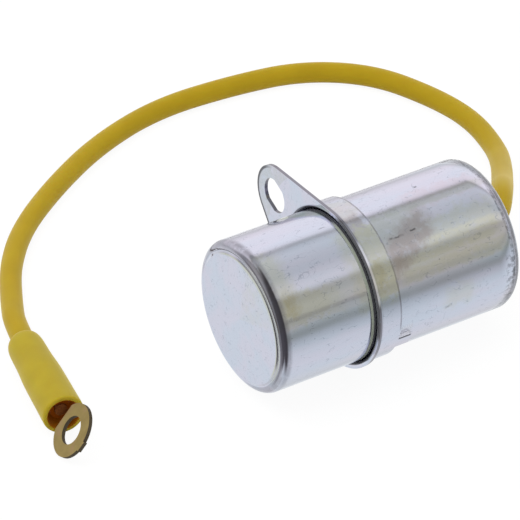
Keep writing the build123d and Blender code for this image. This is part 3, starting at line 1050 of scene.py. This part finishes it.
@dataclass
class Studio:
    """White table, soft light from all round with the strips that show in bright metal, and the camera.

    Its sizes and places are in metres.
    """

    camera_place: Triple = (-0.20155, -0.32481, 0.27574)
    camera_down: float = 34.92      # below level
    camera_turn: float = -32.2      # from +Y towards +X
    lens: float = 264.5             # in millimetres, as a lens is
    strength: float = 1.2
    fill: float = 0.85              # even light from all round, for all that isn't a mirror

    table_half: float = 1.5
    table_bounce: float = 0.85      # how light the table is to all but the camera
    table_shade: float = 0.10       # how much shadow the camera sees on it
    table_glow: float = 0.92

    lamp_place: Triple = (-0.25, 0.1, 0.9)
    lamp_size: float = 0.8
    lamp_power: float = 3.0

    # what a bright cylinder lying along +X sees round it: degrees from +Y over +Z, brightness and hue
    strips: tuple[tuple[float, float, Hue], ...] = (
        (-180, 0.53, Hue.SAGE), (-176, 0.46, Hue.SAGE), (-171, 0.39, Hue.SAGE), (-167, 0.41, Hue.SAGE),
        (-160, 0.57, Hue.SKY), (-150, 0.72, Hue.SKY), (-138, 0.84, Hue.SKY), (-116, 0.89, Hue.SKY),
        (-100, 0.88, Hue.SKY), (-84, 0.86, Hue.PLAIN), (-70, 0.76, Hue.PLAIN), (-45, 0.90, Hue.SKY),
        (-28, 0.98, Hue.PLAIN), (-16, 0.86, Hue.PLAIN), (-6, 0.72, Hue.PLAIN), (4, 0.92, Hue.LILAC),
        (16, 1.06, Hue.LILAC), (48, 1.07, Hue.LILAC), (55, 0.98, Hue.LILAC), (59, 0.62, Hue.PLAIN),
        (62, 0.52, Hue.PLAIN), (66, 0.70, Hue.SKY), (74, 0.79, Hue.SKY), (94, 0.68, Hue.SKY),
        (104, 0.66, Hue.SKY), (126, 0.86, Hue.PLAIN), (131, 0.80, Hue.PLAIN), (137, 0.54, Hue.OLIVE),
        (144, 0.53, Hue.OLIVE), (154, 0.62, Hue.OLIVE), (164, 0.58, Hue.OLIVE), (170, 0.50, Hue.GREY),
        (176, 0.54, Hue.GREY),
    )
    # the unlit room behind the camera, which only metal that faces it mirrors
    room_light: float = 0.08        # on the same scale
    dusk_light: float = 0.34        # the same room over the table's far side
    room_centre: float = 160.0      # of what it takes up, from +Y over +Z
    room_half: float = 85.0
    room_soft: float = 14.0
    room_from: Span = (0.05, -0.38)    # directions along +X between which it comes in
    room_full: Span = (-0.55, -0.74)   # and those past which it goes all round
    dusk_from: Span = (-0.15, 0.42)    # directions along +Y between which it lightens

    def around(self, tree: Tree) -> Socket:
        """The light by direction.

        Args:
            tree: The world's node tree.

        Returns:
            Its colour.
        """
        direction = put(tree, "ShaderNodeTexCoord").outputs["Generated"]
        x, y, z = put(tree, "ShaderNodeSeparateXYZ", {0: direction}).outputs
        turn = calc(tree, "MULTIPLY_ADD", calc(tree, "ARCTAN2", z, y), 1 / math.tau, 0.5)
        stops = [((degrees + 180) / 360, lit(light / self.strength, hue))
                 for degrees, light, hue in self.strips]
        half = len(stops) // 2   # a ramp holds no more than 32 stops
        low = ramp(tree, turn, stops[:half + 1])
        high = ramp(tree, turn, stops[half:])
        above = calc(tree, "GREATER_THAN", turn, stops[half][0])
        strips = put(tree, "ShaderNodeMix", {0: above, 6: low, 7: high}, data_type="RGBA").outputs[2]
        degrees = calc(tree, "MULTIPLY_ADD", turn, 360.0, -180.0)
        off = calc(tree, "ABSOLUTE", calc(tree, "SUBTRACT", degrees, self.room_centre))
        off = calc(tree, "MINIMUM", off, calc(tree, "SUBTRACT", 360.0, off))
        outer, inner = self.room_half + self.room_soft, self.room_half - self.room_soft
        room = product(tree, step(tree, off, outer, inner), step(tree, x, *self.room_from))
        room = calc(tree, "MAXIMUM", room, step(tree, x, *self.room_full))
        shade = put(tree, "ShaderNodeMix", {
            0: step(tree, y, *self.dusk_from),
            6: lit(self.room_light, Hue.PLUM),
            7: lit(self.dusk_light, Hue.LILAC),
        }, data_type="RGBA").outputs[2]
        return put(tree, "ShaderNodeMix", {0: room, 6: strips, 7: shade}, data_type="RGBA").outputs[2]

    def world(self) -> None:
        """Builds the surroundings: white behind the object, soft strips for the metal to mirror."""
        world = bpy.data.worlds.new("studio")
        bpy.context.scene.world = world
        world.use_nodes = True
        tree = world.node_tree
        tree.nodes.clear()
        around = put(tree, "ShaderNodeBackground", {"Color": self.around(tree), "Strength": self.strength})
        plain = put(tree, "ShaderNodeBackground", {"Color": grey(1.0), "Strength": 1.0})
        fill = put(tree, "ShaderNodeBackground", {"Color": grey(self.fill), "Strength": 1.0})
        path = put(tree, "ShaderNodeLightPath").outputs
        light = put(tree, "ShaderNodeMixShader", {0: path["Is Diffuse Ray"], 1: around.outputs[0],
                                                  2: fill.outputs[0]})
        seen = put(tree, "ShaderNodeMixShader", {0: path["Is Camera Ray"], 1: light.outputs[0],
                                                 2: plain.outputs[0]})
        put(tree, "ShaderNodeOutputWorld", {"Surface": seen.outputs[0]})

    def table_finish(self) -> Material:
        """Builds the table's white, which the camera sees lit up from within.

        Returns:
            The material.
        """
        material = bpy.data.materials.new("white table")
        material.use_nodes = True
        tree = material.node_tree
        tree.nodes.clear()
        camera = put(tree, "ShaderNodeLightPath").outputs["Is Camera Ray"]
        bounce = put(tree, "ShaderNodeBsdfDiffuse", {"Color": grey(self.table_bounce)})
        shade = put(tree, "ShaderNodeBsdfDiffuse", {"Color": grey(self.table_shade)})
        glow = put(tree, "ShaderNodeEmission", {"Color": grey(1.0), "Strength": self.table_glow})
        seen = put(tree, "ShaderNodeAddShader", {0: shade.outputs[0], 1: glow.outputs[0]})
        mix = put(tree, "ShaderNodeMixShader", {0: camera, 1: bounce.outputs[0], 2: seen.outputs[0]})
        put(tree, "ShaderNodeOutputMaterial", {"Surface": mix.outputs[0]})
        return material

    def floor(self, height: float) -> None:
        """Lays the white table.

        Args:
            height: Its level.
        """
        mesh = bpy.data.meshes.new("floor")
        shape = bmesh.new()
        bmesh.ops.create_grid(shape, x_segments=1, y_segments=1, size=self.table_half)
        bmesh.ops.translate(shape, verts=shape.verts, vec=(0, 0, height))
        shape.to_mesh(mesh)
        shape.free()
        floor = add(bpy.data.objects.new("floor", mesh))
        dress(floor, self.table_finish())
        floor.visible_glossy = False

    def camera(self) -> None:
        """Places the camera."""
        data = bpy.data.cameras.new("camera")
        data.lens = self.lens
        data.sensor_width = 36
        data.clip_start = 0.01
        data.clip_end = 10
        camera = add(bpy.data.objects.new("camera", data))
        camera.location = self.camera_place
        camera.rotation_euler = (math.radians(90 - self.camera_down), 0, math.radians(self.camera_turn))
        bpy.context.scene.camera = camera

    def lamp(self) -> None:
        """Hangs one large soft lamp over the table, out of the metal's sight."""
        data = bpy.data.lights.new("lamp", "AREA")
        data.size = self.lamp_size
        data.energy = self.lamp_power
        lamp = add(bpy.data.objects.new("lamp", data))
        lamp.location = self.lamp_place
        lamp.rotation_euler = Vector(self.lamp_place).to_track_quat("Z", "Y").to_euler()
        lamp.visible_glossy = False

    def build(self, height: float) -> None:
        """Builds the studio.

        Args:
            height: Level that the part stands at.
        """
        self.world()
        self.floor(height)
        self.camera()
        self.lamp()
        bpy.context.scene.view_settings.view_transform = "Standard"


def main() -> None:
    """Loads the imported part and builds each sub-assembly round it."""
    logging.basicConfig(level=logging.INFO, format="%(name)s: %(message)s")
    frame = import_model()
    nodes = frame["nodes"]
    Can().dress(nodes["can"])
    Band().dress(nodes["mounting_band"])
    Stack().dress(nodes)
    line = TerminalLine()
    dress(nodes["ring_terminal"], StampedBrass(line).material())
    Lead(line).build([Sleeve(line).build(), nodes["ring_terminal"]])
    Studio().build(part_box("mounting_band")[0].z)


if __name__ == "__main__":
    main()
